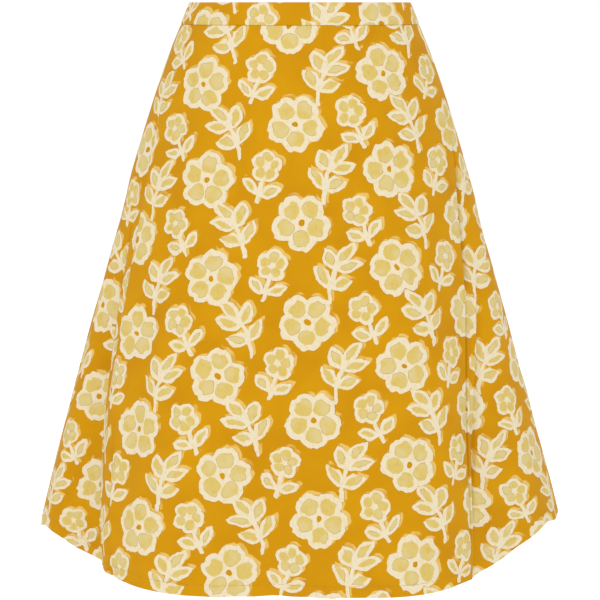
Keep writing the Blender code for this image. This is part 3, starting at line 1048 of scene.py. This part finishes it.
def herringbone(name):
    """The zip's woven tape."""
    made, tree, shader = new_material(name, {"Roughness": 0.8, "Sheen Weight": 0.05})
    x, _, z = object_place(tree)
    weave = (z + x * alternately(x.nearest(1.8))).wave(0.8)
    patchy = noise(tree, x, z, 9.0, 2.0)
    tone = mixed(tree, (weave * 0.3 + patchy).between(0.15, 0.85), TAPE_COLOUR, TAPE_SHADE)
    surfaced(tree, shader, tone, weave, 0.5, 0.00008)
    return made


def enamel(name):
    """Enamelled metal, with brass showing in fine scratches."""
    settings = {"Roughness": 0.34, "Coat Weight": 0.35, "Coat Roughness": 0.2}
    made, tree, shader = new_material(name, settings)
    x, y, z = object_place(tree)
    cloudy = noise(tree, x + y, z, 3.0, 2.0)
    scratched = noise(tree, x * 0.4 + y, z * 3.0 + x, 0.5).between(0.66, 0.72)
    tone = mixed(tree, cloudy.between(0.35, 0.7), ENAMEL_COLOUR, ENAMEL_SHADE)
    tone = mixed(tree, scratched * 0.5, tone, BRASS)
    feed(tree, shader.inputs["Roughness"], cloudy * 0.25 + 0.24)
    surfaced(tree, shader, tone, cloudy + scratched * 0.3, 0.15, 0.00005)
    return made


PRINTED = print_group()
FACE = cotton("cotton_face", PRINTED, 0.0)
BACK = cotton("cotton_reverse", PRINTED, 0.55)
OVERLOCKED = overlocked("cotton_overlocked")
THREAD_LOOK = twisted("sewing_thread", THREAD_COLOUR, THREAD_SHADE, 0.7)
COIL_LOOK = twisted("zip_nylon", COIL_COLOUR, COIL_SHADE, 0.35)
TAPE_LOOK = herringbone("zip_tape_weave")
ENAMEL = enamel("zip_enamel")

# -------- the cloth

# Its three parts round the body, each a panel under its stretch of waistband: where it starts
# and ends, what lies at each of those edges, the turn of its straight grain, and then for its
# panel and its band how many columns each has and where on the print each is cut.
PARTS = table(
    "name first first_edge last last_edge middle columns print_at band_columns band_print_at gaps",
    (
        "front", -90, "right", 90, "left", 0,
        FRONT_COLUMNS, (0.012, 0.0), FRONT_BAND_COLUMNS, (0.2, 0.31), (no_gap, no_gap),
    ),
    (
        "back_left", 90, "side", 180, "middle", 180,
        BACK_COLUMNS, (0.061, 0.037), BACK_BAND_COLUMNS, (0.4, 0.27), (no_gap, back_seam_gap),
    ),
    (
        "back_right", -180, "middle", -90, "side", -180,
        BACK_COLUMNS, (0.055, 0.022), BACK_BAND_COLUMNS, (0.1, 0.44), (back_seam_gap, no_gap),
    ),
)


def dressed(made, slot, *nodes, body="skirt"):
    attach(made, body)
    if nodes:
        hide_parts(*nodes)
    return made


def sheet_size(flat):
    """The width, length and area of what shows of a cut."""
    low, high = flat.reshape(-1, 2).min(0), flat.reshape(-1, 2).max(0)
    a = flat[1:, :-1] - flat[:-1, :-1]
    b = flat[:-1, 1:] - flat[:-1, :-1]
    area = abs(a[..., 0] * b[..., 1] - a[..., 1] * b[..., 0]).sum()
    return tuple(float(v) for v in high - low), float(area)


def make_panel(part):
    """A panel's shell, its flat cut and its grid of places."""
    gaps = (no_gap, no_gap)
    piece = cut_piece(part, part.columns, PANEL_TOP, hem_drop, PANEL_ROWS, HEM_STEPS, gaps)
    points, normals = cloth_frame(piece.turns, piece.drops)
    above = piece.foot_distance
    edge = np.minimum(piece.side_distance, piece.top_distance)
    rolled = rolled_in(edge, SEAM_ROLL_REACH, SEAM_ROLL)
    hem_half = (CLOTH + HEM_LAYER) / 2
    rounded = rolled_in(above, hem_half, hem_half * HEM_ROUNDING)
    doubled = HEM_LAYER * (above < HEM_TURN_UP)
    outer = points - normals * (rolled + rounded)[..., None]
    inner = points - normals * (CLOTH + doubled + rolled - rounded)[..., None]
    inner = untangled(inner, outer)
    flat = lay_flat(piece, points, part.middle, BAND_HEIGHT) + np.array(part.print_at)
    turned_up = above[:, 0] < HEM_TURN_UP
    inner_flat = np.where(turned_up[:, None, None], 2 * flat[-1:] - flat, flat)
    reverse = ~(turned_up[:-1] | turned_up[1:])
    kinds = np.repeat(reverse[:, None], flat.shape[1] - 1, axis=1)
    made = closed_shell(
        part.name + "_cloth", outer, inner, flat, inner_flat, kinds, (FACE, BACK),
        rising_quads(piece, points),
    )
    return dressed(made, "printed_cotton", part.name + "_panel"), flat, piece


def make_band(part):
    """A stretch of waistband and its flat cut."""

    def foot_at(turn):
        return BAND_HEIGHT + 0.0 * turn

    piece = cut_piece(part, part.band_columns, 0.0, foot_at, BAND_ROWS, EDGE_STEPS, part.gaps)
    points, normals = cloth_frame(piece.turns, piece.drops)
    side = rolled_in(piece.side_distance, SEAM_ROLL_REACH, SEAM_ROLL)
    foot = rolled_in(piece.foot_distance, SEAM_ROLL_REACH, SEAM_ROLL)
    top = rolled_in(piece.top_distance, BAND_CLOTH / 2, BAND_CLOTH / 2 * BAND_ROUNDING)
    puffed = BAND_PUFF * np.sin(np.pi * piece.drops / BAND_HEIGHT) ** 2
    outer = points + normals * (BAND_PROUD + puffed - side - foot - top)[..., None]
    inner = points + normals * (BAND_PROUD - BAND_CLOTH - puffed + side + foot + top)[..., None]
    flat = lay_flat(piece, points, part.middle, 0.0) + np.array(part.band_print_at)
    kinds = np.zeros((len(points) - 1, flat.shape[1] - 1), dtype=bool)
    made = closed_shell(
        "band_" + part.name, outer, inner, flat, 2 * flat[:1] - flat, kinds, (FACE,)
    )
    return dressed(made, "printed_cotton", "waistband_" + part.name), flat


def make_turning(part, panel, column, seam, edge_name, way):
    """A seam allowance, pressed back inside a panel from the seam at one of its side edges."""
    _, flat, piece = panel
    starts = (TAPE_END if edge_name == "middle" else BAND_HEIGHT) + TURNING_EASE
    rows = (piece.drops[:, column] > starts) & (piece.foot_distance[:, column] > HEM_TURN_UP)
    drops = piece.drops[rows, column][:, None]
    steps = np.array(TURNING_STEPS)
    turns = seam + way * degrees_for(steps, seam, drops)
    points, normals = cloth_frame(turns, drops + 0.0 * turns)
    edge = np.minimum(steps, piece.top_distance[rows])
    inside = CLOTH + TURNING_GAP + rolled_in(edge, SEAM_ROLL_REACH, SEAM_ROLL)
    outer = points - normals * inside[..., None]
    inner = outer - normals * TURNING_CLOTH
    inward = column + way * (len(EDGE_STEPS) - 1)
    beyond = unit(flat[rows, column] - flat[rows, inward])
    cut = flat[rows, column][:, None] + beyond[:, None] * steps[:, None]
    kinds = np.zeros((len(drops) - 1, len(steps) - 1), dtype=np.int32)
    kinds[:, steps[1:] > TURNING - OVERLOCK] = 1
    name = f"{part.name}_turning_{edge_name}"
    made = closed_shell(name, outer, inner, cut, cut, kinds, (FACE, OVERLOCKED))
    return dressed(made, "printed_cotton")


def stitch_row(first, last, out, side):
    """The hem's stitches between two turns, on the face that lies so far out."""
    fine = np.linspace(first, last, FINE_HEM)
    run = run_along(surface(fine, hem_drop(fine) - STITCH_ABOVE))
    count = int(run[-1] / STITCH_PITCH)
    middles = (np.arange(count) + 0.5) * run[-1] / count
    share = np.linspace(-1.0, 1.0, STITCH_PLACES)
    turns = np.interp(middles[:, None] + share * STITCH_LENGTH / 2, run, fine)
    points, normals = cloth_frame(turns, hem_drop(turns) - STITCH_ABOVE)
    bow = STITCH_RISE * (1.0 - 2.0 * share**2)
    return points + normals * (out + side * bow)[..., None], normals


def make_stitches(part):
    """The hem's sewing on a panel, outside and inside."""
    first, last = part.first + STITCH_INSET, part.last - STITCH_INSET
    sides = ((0.0, 1.0), (-CLOTH - HEM_LAYER, -1.0))
    rows = [stitch_row(first, last, out, side) for out, side in sides]
    centres, normals = (np.concatenate(both) for both in zip(*rows))
    radius = THREAD * np.ones(centres.shape[:2])
    points, faces = round_threads(centres, normals, radius, THREAD_SIDES)
    made = mesh_object(part.name + "_hem_stitches", points, faces, (THREAD_LOOK,))
    return dressed(made, "printed_cotton")


def make_cloth():
    panels = [make_panel(part) for part in PARTS]
    bands = [make_band(part) for part in PARTS]
    for part, panel, (hangs_from, _) in zip(PARTS, panels, bands):
        sewn = (
            make_turning(part, panel, 0, part.first, part.first_edge, 1),
            make_turning(part, panel, -1, part.last, part.last_edge, -1),
            make_stitches(part),
        )
        made, flat, _ = panel
        size, area = sheet_size(flat)
    for made, flat in bands:
        size, area = sheet_size(flat)


# -------- the zip


def tape_inside(drop):
    """The inner face of the zip's tapes, inside the waistband and then the panels."""
    band, panel = BAND_PROUD - BAND_CLOTH - SEAM_GAP, -SOLID_CLOTH - SEAM_GAP
    eased = smooth_step((drop - BAND_HEIGHT - SEAM_GAP) / TAPE_EASE)
    return band + (panel - band) * eased - TAPE_CLOTH


def back_point(drop, out):
    """A point out from the centre-back seam, and the direction out of the cloth there."""
    points, normals = cloth_frame(np.full_like(drop, BACK_SEAM), drop)
    return points + normals * out[..., None], normals


def make_coil():
    """The coil that holds the zip's tapes together below its slider, one loop a tooth."""
    drops = np.arange(COIL_TOP, COIL_END, COIL_PITCH / 2)
    side = np.where(np.arange(len(drops)) % 2, 1.0, -1.0)
    share = np.linspace(0.0, 1.0, TOOTH_PLACES)
    middle, normals = back_point(drops, tape_inside(drops) - TOOTH)
    across = side[:, None] * (TOOTH_HEAD + (TOOTH_ROOT - TOOTH_HEAD) * share)
    centres = middle[:, None] - normals[:, None] * (TOOTH_BOW * np.sin(np.pi * share))[:, None]
    centres[..., 0] += across
    normals = np.repeat(normals[:, None], TOOTH_PLACES, axis=1)
    radius = TOOTH * (1.0 - TOOTH_TAPER * share) * np.ones_like(across)
    points, faces = round_threads(centres, normals, radius, TOOTH_SIDES)
    dressed(mesh_object("zip_coil", points, faces, (COIL_LOOK,)), "zip_tape")


def seam_place(origin, up):
    """A place with its x across the centre-back seam and its y up along it."""
    x = Vector((1.0, 0.0, 0.0))
    axes = Matrix((x, up, x.cross(up))).transposed().to_4x4()
    return Matrix.Translation(origin) @ axes


def mirrored(right, between=()):
    """A whole outline from its right side, with more points between that and the left one."""
    return [*right, *between, *((-x, y) for x, y in reversed(right))]


def make_slider():
    """The slider: a shield inside the tapes, and a bridge of wire out through the seam."""
    inside = BAND_PROUD - BAND_CLOTH - SEAM_GAP - TAPE_CLOTH - SEAM_GAP
    drop = np.array([SLIDER_DROP])
    middle, normal = (Vector(v[0]) for v in back_point(drop, drop * 0 + inside - SLIDER_DEPTH / 2))
    up = Vector((1.0, 0.0, 0.0)).cross(normal)
    outline = mirrored([(w / 2, SLIDER_HEIGHT / 2 - d) for d, w in SLIDER_OUTLINE])
    place = seam_place(middle, up)
    body = plate("slider_body", outline, (), SLIDER_DEPTH, SLIDER_ROUNDING, place, ENAMEL)
    dressed(body, "zip_metal", "zip_slider")

    hinge = Vector(back_point(drop, drop * 0 + BAND_PROUD + PULL_LIFT)[0][0])
    legs = np.arange(BRIDGE_LEG_PLACES) / BRIDGE_LEG_PLACES
    arc = np.linspace(0.0, math.pi, BRIDGE_ARC_PLACES)
    bend_y = BRIDGE_REACH * np.sign(np.cos(arc)) * np.abs(np.cos(arc)) ** BRIDGE_SQUARE
    bend_out = BRIDGE_RISE * np.sin(arc) ** BRIDGE_SQUARE
    leg_out = (middle - hinge).dot(normal) * (1.0 - legs)
    ys = np.concatenate([BRIDGE_REACH + 0 * legs, bend_y, -BRIDGE_REACH + 0 * legs])
    outs = np.concatenate([leg_out, bend_out, leg_out[::-1]])
    path = np.array(hinge) + ys[:, None] * np.array(up) + outs[:, None] * np.array(normal)
    sideways = np.tile([1.0, 0.0, 0.0], (len(path), 1))
    radius = BRIDGE_WIRE * np.ones((1, len(path)))
    points, faces = round_threads(path[None], sideways[None], radius, BRIDGE_SIDES)
    dressed(mesh_object("slider_bridge", points, faces, (ENAMEL,)), "zip_metal")
    return hinge


def smooth_line(points):
    """Points along a smooth curve through rows of a place down and a width, as x and y."""
    downs, widths = (np.array(column) for column in zip(*points))
    fine = np.linspace(downs[0], downs[-1], PULL_SIDE_PLACES)
    share = np.interp(fine, downs, np.arange(len(downs)))
    low = np.minimum(share.astype(int), len(downs) - 2)
    across = widths[low] + (widths[low + 1] - widths[low]) * smooth_step(share - low)
    return [(w / 2, -d) for d, w in zip(fine, across)]


def slot_outline(width, top, foot, corner):
    """A slot with round corners, from its lower right one anticlockwise."""
    outline = []
    for turn, (side, y) in enumerate(
        ((1, foot + corner), (1, top - corner), (-1, top - corner), (-1, foot + corner))
    ):
        for step in range(SLOT_CORNER_STEPS + 1):
            angle = math.pi / 2 * (turn - 1 + step / SLOT_CORNER_STEPS)
            x = side * (width / 2 - corner) + corner * math.cos(angle)
            outline.append((x, y + corner * math.sin(angle)))
    return outline


def make_pull(hinge):
    """The pull tab: a slim drop with a slot for the bridge, hanging from its hinge."""
    drop = np.array([SLIDER_DROP + PULL_LENGTH])
    tip = Vector(back_point(drop, drop * 0 + PULL_TIP_LIFT)[0][0])
    place = seam_place(hinge, (hinge - tip).normalized())
    end = PULL_END_WIDTH / 2
    angles = np.linspace(0.0, np.pi, PULL_END_PLACES)[1:-1]
    arc = [(end * math.cos(a), end - PULL_LENGTH - end * math.sin(a)) for a in angles]
    outline = mirrored(smooth_line(PULL_OUTLINE), arc)
    holes = (slot_outline(*PULL_SLOT),)
    tab = plate("pull_tab", outline, holes, PULL_THICKNESS, PULL_ROUNDING, place, ENAMEL)
    dressed(tab, "zip_metal", "zip_pull", body="pull")


# -------- the studio

FLOOR_DROP = 1.04
FLOOR_REACH = 400.0
FLOOR_TONE = 0.93
FLOOR_GLOW = 0.1
WHITE = (1.0, 1.0, 1.0, 1.0)
LAMPS = (("key", (-0.3, -2.9, 1.3)), ("back_key", (0.3, 2.9, 1.3)))
LAMP_AIM = (0.0, 0.0, -0.3)
LAMP_SIZE = 1.2
LAMP_POWER = 27.0
CAMERA_DISTANCE = 1.8
CAMERA_PITCH = 11.07
CAMERA_LENS = 91.36
CAMERA_SENSOR = 36.0


def make_floor():
    mesh = bpy.data.meshes.new("floor")
    corners = [(x * FLOOR_REACH, y * FLOOR_REACH) for x, y in ((-1, -1), (1, -1), (1, 1), (-1, 1))]
    mesh.from_pydata([(x, y, -FLOOR_DROP) for x, y in corners], [], [(0, 1, 2, 3)])
    settings = {
        "Roughness": 0.9, "Base Color": (FLOOR_TONE, FLOOR_TONE, FLOOR_TONE, 1.0),
        "Specular IOR Level": 0.1, "Emission Color": WHITE, "Emission Strength": FLOOR_GLOW,
    }
    mesh.materials.append(new_material("pale_floor", settings)[0])
    placed("floor", mesh)


def make_studio():
    make_floor()
    scene = bpy.context.scene
    scene.world = bpy.data.worlds.new("studio")
    scene.world.use_nodes = True
    sky = scene.world.node_tree.nodes["Background"]
    sky.inputs[0].default_value = WHITE
    sky.inputs[1].default_value = 1.0

    for name, place in LAMPS:
        data = bpy.data.lights.new(name, "AREA")
        data.size = LAMP_SIZE
        data.energy = LAMP_POWER
        lamp = placed(name, data)
        lamp.location = place
        aim = Vector(LAMP_AIM) - Vector(place)
        lamp.rotation_euler = aim.to_track_quat("-Z", "Y").to_euler()

    camera = placed("camera", bpy.data.cameras.new("camera"))
    camera.data.lens = CAMERA_LENS
    camera.data.sensor_width = CAMERA_SENSOR
    camera.location = (0.0, -CAMERA_DISTANCE, 0.0)
    camera.rotation_euler = (math.radians(90.0 - CAMERA_PITCH), 0.0, 0.0)
    scene.camera = camera
    scene.view_settings.view_transform = "Standard"


make_cloth()
make_coil()
make_pull(make_slider())
for tape in ("zip_tape_left", "zip_tape_right"):
    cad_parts[tape].material_slots[0].material = TAPE_LOOK
make_studio()
